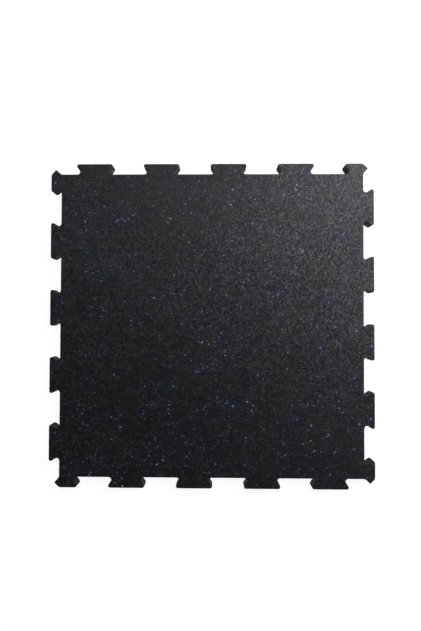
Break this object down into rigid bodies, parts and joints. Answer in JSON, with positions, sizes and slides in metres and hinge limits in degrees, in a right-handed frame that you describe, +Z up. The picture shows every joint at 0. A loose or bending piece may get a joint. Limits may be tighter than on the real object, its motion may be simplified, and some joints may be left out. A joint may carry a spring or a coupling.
{
  "type": "rubber gym floor tile",
  "caption": "Square tile of pressed black rubber crumb with coloured flecks, and dovetail tabs and pockets on every side that lock it to equal tiles in a gym floor.",
  "frame": {"origin": "middle of the underside, level with the floor that the tile lies on", "axes": "+Z up, through the thickness; +X and +Y square to the sides. Seen from above, +Y is the top of the picture and +X its right"},
  "size_m": [0.5162, 0.5162, 0.015],
  "materials": {
    "crumb_rubber": "pressed black rubber crumb, fine-grained, with a low sheen",
    "coloured_fleck": "small blue-grey rubber granules bound into the surface"
  },
  "bodies": {
    "root": {"rubber_tile": "crumb_rubber"}
  },
  "joints": []
}
